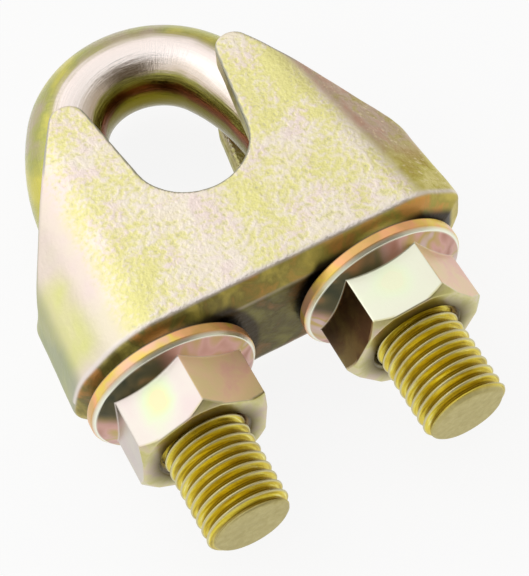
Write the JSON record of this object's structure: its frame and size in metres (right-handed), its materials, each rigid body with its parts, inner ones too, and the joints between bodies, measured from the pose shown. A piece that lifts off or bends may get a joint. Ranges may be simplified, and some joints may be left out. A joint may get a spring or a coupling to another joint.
{
  "type": "wire rope clip",
  "caption": "Wire rope clip with a threaded U-bolt, a cast saddle that seats the rope, and flanged hex nuts that draw the saddle towards the bow.",
  "frame": {"origin": "centre of the round rope seat, halfway through the saddle's thickness", "axes": "+X to the right across the two legs, +Y along the legs towards the bow, +Z out of the front face along the rope; the clip lies on its back"},
  "size_m": [0.0814, 0.1064, 0.0324],
  "materials": {
    "rod_steel": "smooth forged rod with bright zinc plating and a pale yellow passivation, satin to glossy, with rolled threads",
    "saddle_casting": "cast surface with fine grain under zinc plating with a pale yellow passivation, faint yellow-green and pink mottling, small dark specks",
    "nut_steel": "smooth zinc-plated nut steel with a pale yellow passivation, glossy flats"
  },
  "bodies": {
    "u_bolt": {"u_bolt": "rod_steel"},
    "saddle": {"saddle": "saddle_casting"},
    "left_nut": {"left_nut": "nut_steel"},
    "right_nut": {"right_nut": "nut_steel"}
  },
  "joints": [
    {"name": "saddle_slide", "type": "slide", "parent": "u_bolt", "child": "saddle", "axis": [0, 1, 0], "range_m": [-0.016, 0.008]},
    {"name": "left_nut_turn", "type": "hinge", "parent": "saddle", "child": "left_nut", "pos_m": [-0.0227, -0.0427, 0], "axis": [0, 1, 0], "range_deg": [-2880, 1440]},
    {"name": "right_nut_turn", "type": "hinge", "parent": "saddle", "child": "right_nut", "pos_m": [0.0197, -0.0427, 0], "axis": [0, 1, 0], "range_deg": [-2880, 1440]}
  ],
  "couplings": [
    {"joint": "left_nut_turn", "follows": "saddle_slide", "rad_per_m": 3141.6},
    {"joint": "right_nut_turn", "follows": "saddle_slide", "rad_per_m": 3141.6}
  ]
}
